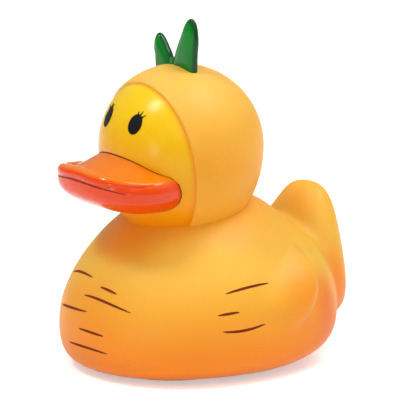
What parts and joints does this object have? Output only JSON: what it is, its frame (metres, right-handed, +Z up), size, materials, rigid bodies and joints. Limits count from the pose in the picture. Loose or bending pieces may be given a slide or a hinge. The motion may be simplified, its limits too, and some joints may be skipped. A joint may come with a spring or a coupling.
{
  "type": "rubber duck",
  "caption": "Soft vinyl bath duck dressed as a carrot: hooded head with a glossy face and wide bill, scored body, upright tail and two leaves on the crown.",
  "frame": {"origin": "middle of the base plate's underside, where the duck rests", "axes": "-Y is the way the duck faces, +X its left side, +Z up"},
  "size_m": [0.0758, 0.093, 0.1056],
  "materials": {
    "orange_vinyl": "soft vinyl with a satin face and airbrushed shading",
    "green_vinyl": "flexible vinyl with a glossy face",
    "plate_vinyl": "soft vinyl, matt",
    "squeaker_plastic": "moulded plastic",
    "reed_metal": "thin spring strip"
  },
  "bodies": {
    "root": {"duck_shell": "orange_vinyl", "leaf_tuft": "green_vinyl", "base_plate": "plate_vinyl", "squeaker_body": "squeaker_plastic", "squeaker_cap": "squeaker_plastic", "squeaker_reed": "reed_metal"}
  },
  "joints": []
}
